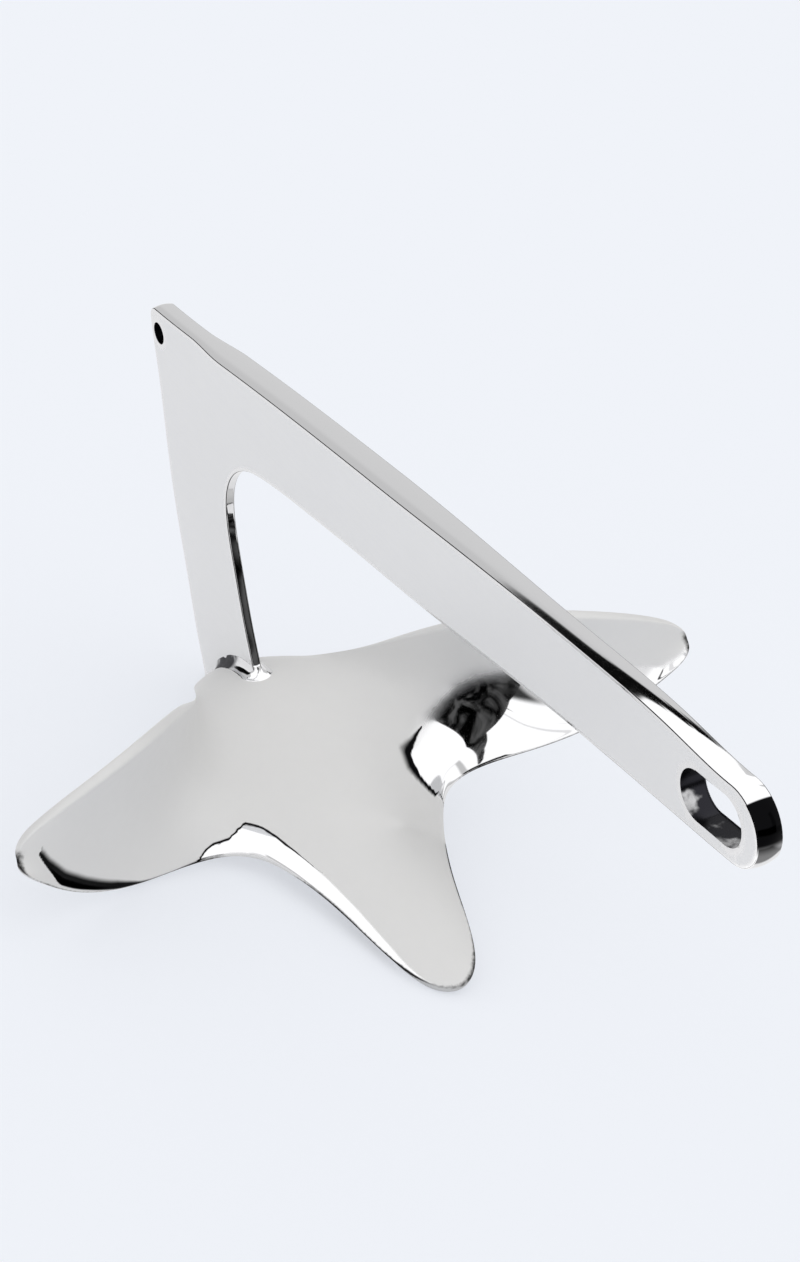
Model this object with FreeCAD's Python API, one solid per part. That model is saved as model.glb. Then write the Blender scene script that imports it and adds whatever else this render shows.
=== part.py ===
import FreeCAD, Part
import math
import os
from FreeCAD import Vector

# Claw anchor, cast in one piece. It is drawn upright: x runs along the arm from the crown's hole
# to the shackle slot, y is across the anchor and z is up, with the origin in the crown's hole.
# It is laid down at the end, the way it comes to rest on a floor.

# Shank, seen from the side
hole_to_slot = 395.5
hole_radius = 5.0
slot_length = 34.0
slot_width = 18.8
slot_tilt = 1.7
eye_radius = 13.9
eye_shift = 11.2
crown_corner_radius = 5.0
top_edge = [(-2.2, 10.0), (80, 13.2), (160, 16.0), (240, 17.4), (320, 17.6), (375, 16.2)]
bottom_edge = [(86, -28.4), (120, -25.7), (165, -22.6), (225, -19.2), (300, -15.4), (375, -14.0)]
leg_back_edge = [(-7.2, 5.0), (-5.2, -18), (-3.4, -52), (-0.6, -80), (4.4, -108), (9.4, -136),
                 (12.8, -151.8)]
window_corner = [(86, -28.4), (72, -31.0), (58, -37.4), (48.2, -49.0), (45.6, -66)]
leg_inner_edge = [(48.0, -82), (51.4, -99), (54.8, -113), (60.4, -131.6)]
window_start_slope = 0.126
leg_inner_end_slope = 0.27
leg_back_end_slope = 0.08
foot_sink = 4.0
sole_shares = (0.27, 0.18, 0.1)

# Half thickness of the shank
lug_half = 4.2
arm_half = 6.1
arm_end_half = 4.5
inner_half = 1.9
shoulder_start = 30.0
shoulder_end = 62.0
taper_start = 185.0
taper_end = 310.0
leg_width = 48.0
leg_lean_share = 0.12
leg_lean_start = 60.0
arm_depth = 46.0
fade_start = 100.0

# Blank that the shank is cut from: its half width, and the pole grid of its two cheeks
blank_half = 15.0
cheek_start_x = -60.0
cheek_step_x = 20.0
cheek_rows = 27
cheek_start_z = -200.0
cheek_step_z = 15.0
cheek_columns = 17

# Claw: edges from the middle to the side tip as (across, along, up)
back_rail = [(0, 13.5, -153), (5, 16, -151.6), (16, 29.5, -143.5), (26, 54, -130.6), (40, 89, -111.2),
             (56, 119.5, -93.8), (72, 138, -86.8), (88, 148.5, -86.3), (104, 153.5, -89.5), (120, 155, -94.2),
             (132, 155, -99.2), (139, 155, -103.6), (142.4, 157, -108.8)]
front_rail = [(0, 221.5, -179.6), (8, 218, -178.6), (14, 208.5, -176.4), (18.5, 195, -173.2),
              (21.6, 181.5, -169.5), (25.5, 166.8, -164.8), (30.5, 153, -160.8), (40, 136.6, -156.4),
              (55, 131.8, -153.2), (72, 133.2, -152.6), (89, 138.6, -149.4), (104, 144.6, -143.6),
              (117, 149.6, -136.3), (126, 154, -128.5), (133.5, 158.4, -120.3), (139.2, 160, -114),
              (142.4, 157, -108.8)]

# Lines that draw the palm between its two edges: the upper face is pulled towards them
rear_pull = [(0, 40, -98), (20, 60, -107), (40, 96, -119), (56, 116, -115), (72, 128, -110),
             (104, 145, -106), (125, 152, -107), (142.4, 157, -108.8)]
fore_pull = [(0, 125, -142), (20, 122, -142), (40, 116, -141), (56, 117, -139.5), (72, 121, -137.5),
             (104, 138, -130), (125, 151, -118), (142.4, 157, -108.8)]
tip_start = 0.78
tip_end = 0.95
tip_share = 0.985
palm_thickness = 14.0
blade_thickness = 8.0
rim_thickness = 4.6
corner_share = 0.18
rim_round = 0.9
rim_round_share = 0.03
rim_near_share = 0.08
foot_fillet = 3.0

# Parts of the claw that touch the floor: the heel, the middle tip and the near side fluke
heel_end = 40.0
middle_tip_start = 190.0
middle_tip_top = -150.0
side_fluke_start = -50.0


def mirrored_curve(points):
    """Smooth curve through the points and their mirror images."""
    half = [Vector(x, y, z) for y, x, z in points]
    other = [Vector(p.x, -p.y, p.z) for p in reversed(half[1:])]
    curve = Part.BSplineCurve()
    curve.interpolate(other + half)
    return curve


def smooth_step(a, b, x):
    t = min(1.0, max(0.0, (x - a) / (b - a)))
    return t * t * (3 - 2 * t)


back_curve = mirrored_curve(back_rail)
front_curve = mirrored_curve(front_rail)
rear_curve = mirrored_curve(rear_pull)
fore_curve = mirrored_curve(fore_pull)


def rail_point(curve, share):
    """Point of a rail at a share of its length from the middle, negative to one side."""
    return curve.value(curve.parameterAtDistance(curve.length() * (0.5 + share / 2)))


def palm_point(share, s):
    """Point of the upper face, at a share s of the way from the back edge to the front edge."""
    r = 1 - s
    point = rail_point(back_curve, share) * r ** 3
    point += rail_point(rear_curve, share) * (3 * r * r * s)
    point += rail_point(fore_curve, share) * (3 * r * s * s)
    return point + rail_point(front_curve, share) * s ** 3


def palm_normal(share, s):
    """Direction out of the palm's upper face."""
    step = 0.004
    s = 0.5 + (s - 0.5) * (1 - smooth_step(tip_start, tip_end, abs(share)))
    low = max(-0.999, share - step)
    high = min(0.999, share + step)
    across = palm_point(high, s) - palm_point(low, s)
    along = palm_point(share, min(1, s + step)) - palm_point(share, max(0, s - step))
    normal = along.cross(across)
    normal.normalize()
    return normal


def claw_section(share):
    """Control points round one section of the claw: upper face, front rim, lower face, back rim."""
    chord = (palm_point(share, 1) - palm_point(share, 0)).Length
    side = abs(share)
    middle = palm_thickness + (blade_thickness - palm_thickness) * smooth_step(0.1, 0.9, side)
    rim = min(rim_thickness, chord * 0.4)
    middle = max(rim, min(middle, chord * 0.4))
    inset = min(rim_round / chord, rim_round_share)
    near = min(inset * 4, rim_near_share)
    stations = [inset, near, 0.18, 0.34, 0.5, 0.66, 0.82, 1 - near, 1 - inset]
    upper = []
    lower = []
    for s in stations:
        normal = palm_normal(share, s)
        depth = rim + (middle - rim) * (4 * s * (1 - s)) ** 1.2
        upper.append(palm_point(share, s))
        lower.append(palm_point(share, s) - normal * depth)
    front = palm_point(share, 1)
    back = palm_point(share, 0)
    front_down = palm_normal(share, 1) * -1
    back_down = palm_normal(share, 0) * -1
    corner = rim * corner_share
    front_rim = [front + front_down * corner, front + front_down * (rim - corner)]
    back_rim = [back + back_down * (rim - corner), back + back_down * corner]
    return upper + front_rim + list(reversed(lower)) + back_rim


def claw():
    half = [0, 0.04, 0.08, 0.13, 0.18, 0.24, 0.3, 0.36, 0.43, 0.5, 0.58, 0.66, 0.74, 0.81, 0.87, 0.92,
            0.955, tip_share]
    shares = [-s for s in reversed(half[1:])] + half
    rows = [claw_section(share) for share in shares]
    for row in (rows[0], rows[-1]):
        level = sum(p.y for p in row) / len(row)
        for p in row:
            p.y = level
    count = len(rows)
    around = len(rows[0])
    across_knots = list(range(count - 2))
    across_mults = [4] + [1] * (count - 4) + [4]
    round_knots = list(range(around + 1))
    round_mults = [1] * (around + 1)
    surface = Part.BSplineSurface()
    surface.buildFromPolesMultsKnots(rows, across_mults, round_mults, across_knots, round_knots,
                                     False, True, 3, 3)
    skin = surface.toShape()
    caps = []
    for edge in skin.Edges:
        if edge.isClosed() and abs(edge.BoundBox.YLength) < 0.01:
            caps.append(Part.Face(Part.Wire(edge)))
    shell = Part.makeShell([skin] + caps)
    shell.sewShape()
    return Part.Solid(Part.Shell(shell.Faces))


def half_thickness(x, z):
    """Half thickness of the shank: thin along the inside of the bend, full along the outside."""
    full = lug_half + (arm_half - lug_half) * smooth_step(shoulder_start, shoulder_end, x)
    full -= (arm_half - arm_end_half) * smooth_step(taper_start, taper_end, x)
    inward = smooth_step(0, leg_width, x - leg_lean_share * max(0.0, -z - leg_lean_start))
    downward = smooth_step(top_edge[0][1], top_edge[0][1] - arm_depth, z)
    fade = 1 - smooth_step(fade_start, taper_end, x)
    return full - (full - inner_half) * inward * downward * fade


def shank_outline():
    """Side view of the shank without its holes, ending inside the palm."""
    lean = math.radians(slot_tilt)
    along = Vector(math.cos(lean), 0, math.sin(lean))
    upward = Vector(-math.sin(lean), 0, math.cos(lean))
    eye = Vector(hole_to_slot, 0, 0) + along * eye_shift
    end_top = eye + upward * eye_radius
    end_bottom = eye - upward * eye_radius
    crown_top = Vector(top_edge[0][0], 0, top_edge[0][1])
    crown_back = Vector(leg_back_edge[0][0], 0, leg_back_edge[0][1])
    centre = Vector(crown_top.x, 0, crown_back.z)
    crown_middle = centre + Vector(-1, 0, 1) * (crown_corner_radius * math.sqrt(0.5))

    upper = Part.BSplineCurve()
    upper.interpolate([Vector(x, 0, z) for x, z in top_edge] + [end_top],
                      InitialTangent=Vector(1, 0, 0), FinalTangent=along)
    into_window = Vector(-1, 0, -window_start_slope)
    into_window.normalize()
    lower = Part.BSplineCurve()
    lower.interpolate([end_bottom] + [Vector(x, 0, z) for x, z in reversed(bottom_edge)],
                      InitialTangent=along * -1, FinalTangent=into_window)
    inner_points = [Vector(x, 0, z) for x, z in window_corner + leg_inner_edge]
    inner = Part.BSplineCurve()
    inner.interpolate(inner_points, InitialTangent=into_window,
                      FinalTangent=Vector(leg_inner_end_slope, 0, -1))
    outer = Part.BSplineCurve()
    outer.interpolate([Vector(x, 0, z) for x, z in leg_back_edge], InitialTangent=Vector(0, 0, -1),
                      FinalTangent=Vector(leg_back_end_slope, 0, -1))
    sole_points = [palm_point(0, s) - palm_normal(0, s) * foot_sink for s in sole_shares]
    foot_back = Vector(leg_back_edge[-1][0], 0, leg_back_edge[-1][1])
    sole = Part.BSplineCurve()
    sole.interpolate([inner_points[-1]] + sole_points + [foot_back])
    nose = Part.Arc(end_top, eye + along * eye_radius, end_bottom)
    corner = Part.Arc(crown_back, crown_middle, crown_top)
    edges = [curve.toShape() for curve in (upper, nose, lower, inner, sole, outer, corner)]
    return Part.Wire(Part.__sortEdges__(edges))


def middle_of(edge):
    return edge.valueAt((edge.FirstParameter + edge.LastParameter) / 2)


def cheek_slab():
    """Solid between the two cheeks of the shank, wider than the shank in every direction."""
    across = [cheek_start_x + cheek_step_x * i for i in range(cheek_rows)]
    upright = [cheek_start_z + cheek_step_z * i for i in range(cheek_columns)]
    faces = []
    for side in (-1, 1):
        rows = [[Vector(x, side * half_thickness(x, z), z) for z in upright] for x in across]
        surface = Part.BSplineSurface()
        surface.buildFromPolesMultsKnots(rows, [4] + [1] * (len(across) - 4) + [4],
                                         [4] + [1] * (len(upright) - 4) + [4],
                                         list(range(len(across) - 2)), list(range(len(upright) - 2)),
                                         False, False, 3, 3)
        faces.append(surface.toShape())
    near, far = faces
    walls = []
    for edge in near.Edges:
        middle = middle_of(edge)
        mate = min(far.Edges, key=lambda e: (middle_of(e) - middle).Length)
        walls.append(Part.makeRuledSurface(edge, mate))
    shell = Part.makeShell(faces + walls)
    shell.sewShape()
    return Part.Solid(Part.Shell(shell.Faces))


def rounded_slot():
    """Slot through the eye, along the arm."""
    half = (slot_length - slot_width) / 2
    r = slot_width / 2
    depth = 2 * blank_half
    bar = Part.makeBox(2 * half, depth, 2 * r, Vector(-half, -depth / 2, -r))
    for x in (-half, half):
        bar = bar.fuse(Part.makeCylinder(r, depth, Vector(x, -depth / 2, 0), Vector(0, 1, 0)))
    bar.rotate(Vector(0, 0, 0), Vector(0, 1, 0), -slot_tilt)
    bar.translate(Vector(hole_to_slot, 0, 0))
    return bar.removeSplitter()


def shank():
    face = Part.Face(shank_outline())
    plate = face.extrude(Vector(0, 2 * blank_half, 0))
    plate.translate(Vector(0, -blank_half, 0))
    body = plate.common(cheek_slab())
    hole = Part.makeCylinder(hole_radius, 2 * blank_half, Vector(0, -blank_half, 0), Vector(0, 1, 0))
    return body.cut(hole).cut(rounded_slot())


def anchor():
    """The whole casting, with the leg's two sides rounded into the palm."""
    body = shank().fuse(claw())
    foot = []
    for edge in body.Edges:
        p = middle_of(edge)
        if edge.Length > leg_width / 2 and abs(p.y) < arm_half and p.z < leg_inner_edge[2][1]:
            foot.append(edge)
    return body.makeFillet(foot_fillet, foot)


def lowest(points, up, inside):
    return min((p for p in points if inside(p)), key=lambda p: p.dot(up))


def resting_up(shape):
    """Upward direction when the heel, the middle tip and the near fluke all touch the floor."""
    points = shape.tessellate(0.5)[0]
    up = Vector(0, 0, 1)
    for turn in range(8):
        heel = lowest(points, up, lambda p: p.x < heel_end)
        tip = lowest(points, up, lambda p: p.x > middle_tip_start and p.z < middle_tip_top)
        fluke = lowest(points, up, lambda p: p.y < side_fluke_start)
        up = (tip - heel).cross(heel - fluke)
        up.normalize()
        if up.z < 0:
            up = up * -1
    depth = min(p.dot(up) for p in points) - heel.dot(up)
    print("resting on", heel, tip, fluke, "lowest point against that plane", round(depth, 3))
    return up


def laid_down(shape):
    """Turn that sets the anchor on the floor with its arm over the x axis."""
    up = resting_up(shape)
    along = Vector(1, 0, 0) - up * up.x
    along.normalize()
    side = up.cross(along)
    turn = FreeCAD.Matrix(along.x, along.y, along.z, 0, side.x, side.y, side.z, 0,
                          up.x, up.y, up.z, 0, 0, 0, 0, 1)
    points = [turn.multVec(p) for p in shape.tessellate(0.5)[0]]
    middle_x = (min(p.x for p in points) + max(p.x for p in points)) / 2
    middle_y = (min(p.y for p in points) + max(p.y for p in points)) / 2
    floor = min(p.z for p in points)
    shift = FreeCAD.Matrix()
    shift.move(Vector(-middle_x, -middle_y, -floor))
    return FreeCAD.Placement(shift * turn)


os.makedirs("parts", exist_ok=True)
shape = anchor()
rest = laid_down(shape)
shape.Placement = rest
print("valid", shape.isValid(), "solids", len(shape.Solids), "volume in cm3", shape.Volume / 1000)
print("hole at", rest.multVec(Vector(0, 0, 0)), "axis", rest.Rotation.multVec(Vector(0, 1, 0)))
print("slot at", rest.multVec(Vector(hole_to_slot, 0, 0)), "wall", 2 * half_thickness(hole_to_slot, 0))
shape.exportStep("parts/claw_anchor.step")
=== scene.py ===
import bpy
import bmesh
import math
import numpy as np
from mathutils import Matrix, Vector
from mathutils.bvhtree import BVHTree
from mathutils.kdtree import KDTree


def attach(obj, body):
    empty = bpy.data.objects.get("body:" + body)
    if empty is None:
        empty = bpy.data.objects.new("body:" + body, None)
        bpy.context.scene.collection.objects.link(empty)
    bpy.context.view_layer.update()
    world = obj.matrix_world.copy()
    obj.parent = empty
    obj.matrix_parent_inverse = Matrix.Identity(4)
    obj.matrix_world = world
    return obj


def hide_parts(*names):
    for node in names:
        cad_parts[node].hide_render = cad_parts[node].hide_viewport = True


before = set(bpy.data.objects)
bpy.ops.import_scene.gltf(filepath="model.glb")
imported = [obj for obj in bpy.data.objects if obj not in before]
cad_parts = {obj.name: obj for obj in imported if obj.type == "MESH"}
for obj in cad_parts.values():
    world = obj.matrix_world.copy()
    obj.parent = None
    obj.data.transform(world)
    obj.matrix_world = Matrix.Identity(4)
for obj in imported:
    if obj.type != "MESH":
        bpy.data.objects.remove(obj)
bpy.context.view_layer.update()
print("frame loaded")

# The casting is drawn upright in millimetres: x along the arm from the crown's hole to the slot,
# y across, z up. It is laid on three points: the heel, the middle tip and the near fluke.
lying = {
    "heel": (12.8, -4.02, -151.8),
    "tip": (209.05, -10.44, -180.68),
    "fluke": (132.7, -83.4, -151.8),
    "moveX": -204.053,
    "moveY": -24.802,
    "scale": 0.001,
}


def layingMatrix():
    heel = Vector(lying["heel"])
    up = (Vector(lying["tip"]) - heel).cross(Vector(lying["fluke"]) - heel).normalized()
    if up.z < 0:
        up = -up
    along = (Vector((1, 0, 0)) - up * up.x).normalized()
    side = up.cross(along)
    turn = Matrix((along, side, up)).to_4x4()
    shift = Matrix.Translation((lying["moveX"], lying["moveY"], -up.dot(heel)))
    return Matrix.Scale(lying["scale"], 4) @ shift @ turn


layDown = layingMatrix()


def smoothStep(a, b, x):
    t = min(1.0, max(0.0, (x - a) / (b - a)))
    return t * t * (3 - 2 * t)


# Distance along a curve at each of its points
def runLength(curve):
    return np.concatenate(([0], np.cumsum(np.linalg.norm(np.diff(curve, axis=0), axis=1))))


# Smooth curve through points, sampled finely; a slope holds the direction at an end
def smoothCurve(points, startSlope=None, endSlope=None, samples=1500):
    p = np.array(points, float)
    t = runLength(p)
    gap = np.diff(t)
    n = len(p)
    a = np.zeros((n, n))
    b = np.zeros_like(p)
    for i in range(1, n - 1):
        a[i, i - 1], a[i, i], a[i, i + 1] = gap[i - 1], 2 * (gap[i - 1] + gap[i]), gap[i]
        b[i] = 6 * ((p[i + 1] - p[i]) / gap[i] - (p[i] - p[i - 1]) / gap[i - 1])
    a[0, 0] = a[-1, -1] = 1
    if startSlope is not None:
        slope = np.array(startSlope, float) / np.linalg.norm(startSlope)
        a[0, 0], a[0, 1] = 2 * gap[0], gap[0]
        b[0] = 6 * ((p[1] - p[0]) / gap[0] - slope)
    if endSlope is not None:
        slope = np.array(endSlope, float) / np.linalg.norm(endSlope)
        a[-1, -1], a[-1, -2] = 2 * gap[-1], gap[-1]
        b[-1] = 6 * (slope - (p[-1] - p[-2]) / gap[-1])
    m = np.linalg.solve(a, b)
    u = np.linspace(0, t[-1], samples)
    i = np.clip(np.searchsorted(t, u, side="right") - 1, 0, n - 2)
    w = gap[i][:, None]
    after = (u - t[i])[:, None]
    before = (t[i + 1] - u)[:, None]
    return ((m[i] * before ** 3 + m[i + 1] * after ** 3) / (6 * w)
            + (p[i] / w - m[i] * w / 6) * before + (p[i + 1] / w - m[i + 1] * w / 6) * after)


# Points spread evenly over a finely sampled curve, both ends included
def evenly(curve, spacing):
    length = runLength(curve)
    count = max(2, int(round(length[-1] / spacing)) + 1)
    wanted = np.linspace(0, length[-1], count)
    return np.array([[np.interp(w, length, curve[:, k]) for k in range(curve.shape[1])] for w in wanted])


# Next ring of a tube: the ring's edges are extruded and the new corners are set in their places
def growRing(bm, ring, places):
    count = len(ring)
    edges = [bm.edges.get((ring[i], ring[(i + 1) % count])) for i in range(count)]
    grown = bmesh.ops.extrude_edge_only(bm, edges=edges)["geom"]
    index = {v: i for i, v in enumerate(ring)}
    fresh = [None] * count
    for v in grown:
        if isinstance(v, bmesh.types.BMVert):
            for e in v.link_edges:
                if e.other_vert(v) in index:
                    fresh[index[e.other_vert(v)]] = v
    for v, place in zip(fresh, places):
        v.co = place
    return fresh


def firstRing(bm, places):
    ring = [bm.verts.new(place) for place in places]
    for i in range(len(ring)):
        bm.edges.new((ring[i], ring[(i + 1) % len(ring)]))
    return ring


def ringEdges(bm, ring):
    return [bm.edges.get((ring[i], ring[(i + 1) % len(ring)])) for i in range(len(ring))]


def makeObject(name, bm):
    mesh = bpy.data.meshes.new(name)
    bm.to_mesh(mesh)
    bm.free()
    for face in mesh.polygons:
        face.use_smooth = True
    made = bpy.data.objects.new(name, mesh)
    bpy.context.scene.collection.objects.link(made)
    return made


# Values for the finish, one at each point of the mesh
def newValues(mesh, *names):
    for name in names:
        mesh.attributes.new(name, "FLOAT", "POINT")
    return {name: mesh.attributes[name].data for name in names}


# Painted dark reflection lines follow the gap to them, in line widths: half faded at lineEdge, none at
# noLine
lineEdge = 0.7
noLine = 2.0

# Claw: the palm with its two side flukes and the middle fluke, drawn from two edges and two pulls.
# Each point of these is (across, along, up), from the middle to the side tip. The finish is given at
# shares of the front edge, from -1 at the near tip to 1 at the far one.
claw = {
    "backRail": [(0, 13.5, -153), (5, 16, -151.6), (16, 29.5, -143.5), (26, 54, -130.6), (40, 89, -111.2),
                 (56, 119.5, -93.8), (72, 138, -86.8), (88, 148.5, -86.3), (104, 153.5, -89.5),
                 (120, 155, -94.2), (132, 155, -99.2), (139, 155, -103.6), (142.4, 157, -108.8)],
    "frontRail": [(0, 221.5, -179.6), (8, 218, -178.6), (14, 208.5, -176.4), (18.5, 195, -173.2),
                  (21.6, 181.5, -169.5), (25.5, 166.8, -164.8), (30.5, 153, -160.8), (40, 136.6, -156.4),
                  (55, 131.8, -153.2), (72, 133.2, -152.6), (89, 138.6, -149.4), (104, 144.6, -143.6),
                  (117, 149.6, -136.3), (126, 154, -128.5), (133.5, 158.4, -120.3), (139.2, 160, -114),
                  (142.4, 157, -108.8)],
    "rearPull": [(0, 40, -98), (20, 60, -107), (40, 96, -119), (56, 116, -115), (72, 128, -110),
                 (104, 145, -106), (125, 152, -107), (142.4, 157, -108.8)],
    "forePull": [(0, 125, -142), (20, 122, -142), (40, 116, -141), (56, 117, -139.5), (72, 121, -137.5),
                 (104, 138, -130), (125, 151, -118), (142.4, 157, -108.8)],
    "shares": [0, 0.04, 0.08, 0.13, 0.18, 0.24, 0.3, 0.36, 0.43, 0.5, 0.58, 0.66, 0.74, 0.81, 0.87, 0.92,
               0.955, 0.985],
    "stations": [0.18, 0.34, 0.5, 0.66, 0.82],
    "middleThickness": 14.0,
    "bladeThickness": 8.0,
    "rimThickness": 4.6,
    "rimCorner": 0.18,
    "rimRound": 0.9,
    "insetMost": 0.03,
    "nearMost": 0.08,
    "chordShare": 0.4,
    "belly": 1.2,
    "thickFade": (0.1, 0.9),
    "tipFade": (0.78, 0.95),
    "levels": 3,
    "railSamples": 6000,
    "finishSteps": 900,
    "polishAndDarkReflections": [(-1, 6, 2, 5), (-0.984, 9.8, 2, 5), (-0.943, 8.6, 2, 5.5), (-0.925, 6.9, 2, 5.7),
               (-0.901, 5.9, 2, 5.7), (-0.875, 4.8, 2, 5.7), (-0.839, 4.4, 2, 5.7), (-0.792, 3.3, 2, 5.5),
               (-0.75, 2.1, 2, 5), (-0.73, 1.9, 1.5, 4.3), (-0.711, 1.4, 1.2, 3.7), (-0.692, 0.9, 1, 3),
               (-0.673, 0.4, 1, 2.2), (-0.655, 0.3, 0.8, 1.7), (-0.6, 0.2, 0.8, 1.4),
               (-0.552, 0.3, 0.8, 1.4), (-0.54, 3, 0.8, 1), (-0.523, 5, 0.8, 1), (-0.509, 5.4, 0.8, 1),
               (-0.496, 6.2, 0.8, 1), (-0.484, 9, 0.8, 1), (-0.473, 12, 0.8, 1), (-0.462, 11.7, 0.8, 1),
               (-0.45, 11.2, 0.8, 1), (-0.439, 10.2, 0.8, 1), (-0.409, 8.3, 0.8, 0.8),
               (-0.377, 7.4, 0.8, 0.3), (-0.322, 6.4, 0.8, 0), (-0.283, 5.6, 0.8, 0), (-0.242, 5.2, 0.8, 0),
               (-0.198, 4.6, 0.8, 0), (-0.154, 3.8, 0.8, 0), (-0.11, 2.3, 0.8, 0), (-0.07, 1.3, 0.8, 0),
               (0.4, 1.2, 0.8, 0), (0.41, 3, 1, 3), (0.43, 7, 1.5, 6), (0.445, 13, 2, 9), (0.463, 20, 3, 9),
               (0.478, 22, 8, 4), (0.495, 25, 12, 0), (0.51, 28, 14, 0), (0.523, 31, 14, 0),
               (0.537, 34, 14, 0), (0.56, 37, 14, 0), (0.65, 38, 12, 0), (0.75, 32, 8, 0),
               (0.84, 24, 6, 0), (0.92, 5, 4, 0), (1, 2, 2, 0)],
    "rimPolish": [(-1, 13), (-0.984, 11.6), (-0.96, 9.8), (-0.943, 8.4), (-0.929, 6.8), (-0.915, 5.4),
                  (-0.902, 4.2), (-0.886, 2.4), (-0.874, 1.9), (-0.8, 1.6), (-0.75, 1), (-0.7, 0.3),
                  (-0.66, -2), (-0.56, -2), (-0.54, 0.8), (-0.51, 0.9), (-0.497, 1.4), (-0.469, 2.2),
                  (-0.439, 2.9), (-0.406, 3), (-0.372, 1.8), (-0.338, 0.8), (-0.31, -2), (1, -2)],
    "rimBlur": 0.9,
    # darkDepth, lineWidth, borderWidth and lineEnd place the painted dark reflections
    "darkDepth": [(-1, 30), (-0.556, 30), (-0.546, 0), (1, 0)],
    "lineWidth": [(-1, 6), (-0.99, 4), (-0.97, 2), (-0.94, 1.2), (-0.55, 1), (-0.42, 1), (-0.36, 1.8),
                  (-0.15, 1.4), (-0.06, 1.4), (-0.02, 2.4), (0.03, 3.2), (0.07, 3), (0.1, 2), (0.14, 1.5),
                  (0.4, 1.4), (0.94, 1.4), (0.97, 2), (0.99, 4), (1, 6)],
    "borderWidth": 0.7,
    "rimReach": 0.6,
    "lineEnd": (2.2, 3.0),
    "leastLine": 0.001,
}


def railByShare(points):
    half = [(along, across, up) for across, along, up in points]
    other = [(x, -y, z) for x, y, z in reversed(half[1:])]
    curve = smoothCurve(other + half, samples=claw["railSamples"])
    length = runLength(curve)

    def at(share):
        wanted = length[-1] * (0.5 + share / 2)
        return np.array([np.interp(wanted, length, curve[:, k]) for k in range(3)])
    return at


backAt = railByShare(claw["backRail"])
frontAt = railByShare(claw["frontRail"])
rearAt = railByShare(claw["rearPull"])
foreAt = railByShare(claw["forePull"])


# Point of the claw's upper face: s goes from the back edge to the front one, bent by the two pulls
def palmPoint(share, s):
    r = 1 - s
    return (backAt(share) * r ** 3 + rearAt(share) * 3 * r * r * s
            + foreAt(share) * 3 * r * s * s + frontAt(share) * s ** 3)


def palmNormal(share, s):
    step = 0.004
    last = 0.999  # just short of the tips, where the two edges meet
    s = 0.5 + (s - 0.5) * (1 - smoothStep(*claw["tipFade"], abs(share)))
    across = palmPoint(min(last, share + step), s) - palmPoint(max(-last, share - step), s)
    along = palmPoint(share, min(1, s + step)) - palmPoint(share, max(0, s - step))
    normal = np.cross(along, across)
    return normal / np.linalg.norm(normal)


# One section of the claw: upper face, front rim, lower face, back rim
def clawSection(share):
    chord = np.linalg.norm(palmPoint(share, 1) - palmPoint(share, 0))
    thick = claw["middleThickness"]
    thick += (claw["bladeThickness"] - thick) * smoothStep(*claw["thickFade"], abs(share))
    rim = min(claw["rimThickness"], chord * claw["chordShare"])
    thick = max(rim, min(thick, chord * claw["chordShare"]))
    inset = min(claw["rimRound"] / chord, claw["insetMost"])
    near = min(inset * 4, claw["nearMost"])
    upper, lower = [], []
    for s in [inset, near] + claw["stations"] + [1 - near, 1 - inset]:
        depth = rim + (thick - rim) * (4 * s * (1 - s)) ** claw["belly"]
        place = palmPoint(share, s)
        upper.append(place)
        lower.append(place - palmNormal(share, s) * depth)
    corner = rim * claw["rimCorner"]
    frontDown = -palmNormal(share, 1)
    backDown = -palmNormal(share, 0)
    front = [palmPoint(share, 1) + frontDown * d for d in (corner, rim - corner)]
    back = [palmPoint(share, 0) + backDown * d for d in (rim - corner, corner)]
    return upper + front + list(reversed(lower)) + back


# Polish of the palm. Along the front edge it is a mirror. At each share, the table gives the mirror's width
# and the softness of its border in millimetres, and how many border widths the painted dark reflection line
# on it takes. rimPolish gives how far in from the edge the rim's own satin goes. The mirror has a painted
# dark reflection down to darkDepth, on the face but not on the rim. A painted dark reflection line follows
# the corner of the edge too.
def markPalm(mesh):
    least = claw["leastLine"]
    rimEnd = claw["rimThickness"] + claw["rimReach"]
    clearAt, clearSlope = claw["lineEnd"]
    shares = np.linspace(-1, 1, claw["finishSteps"])
    tree = KDTree(len(shares))
    for i, share in enumerate(shares):
        tree.insert(frontAt(share), i)
    tree.balance()
    table = np.array(claw["polishAndDarkReflections"])
    width, blur, border = (np.interp(shares, table[:, 0], table[:, k]) for k in (1, 2, 3))
    rim = np.interp(shares, *zip(*claw["rimPolish"]))
    corner = np.interp(shares, *zip(*claw["lineWidth"]))
    dark = np.interp(shares, *zip(*claw["darkDepth"]))
    upward = [Vector(palmNormal(share, 1)) for share in shares]
    values = newValues(mesh, "softness", "cornerGap", "borderGap")
    for v in mesh.vertices:
        _, i, distance = tree.find(v.co)
        past = distance - width[i]
        edge = (rim[i] - distance) / claw["rimBlur"]
        facing = v.normal.dot(upward[i]) if distance < rimEnd else 1.0
        line = max(least, border[i]) if past > 0 else max(least, min(1, border[i]))
        # painted dark reflection: a line along the mirror's border, spread over the whole mirror down to
        # darkDepth
        line = claw["borderWidth"] * line + (dark[i] if past < 0 else 0)
        gap = past / line
        clear = max(lineEdge + edge, clearAt - clearSlope * facing)  # keeps the line off the rim
        values["softness"][v.index].value = 0.5 + max(past / blur[i], edge)
        # gaps to the painted dark reflection lines along the edge's corner and the mirror's border
        values["cornerGap"][v.index].value = distance / corner[i]
        values["borderGap"][v.index].value = gap if abs(gap) > clear else clear


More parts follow.
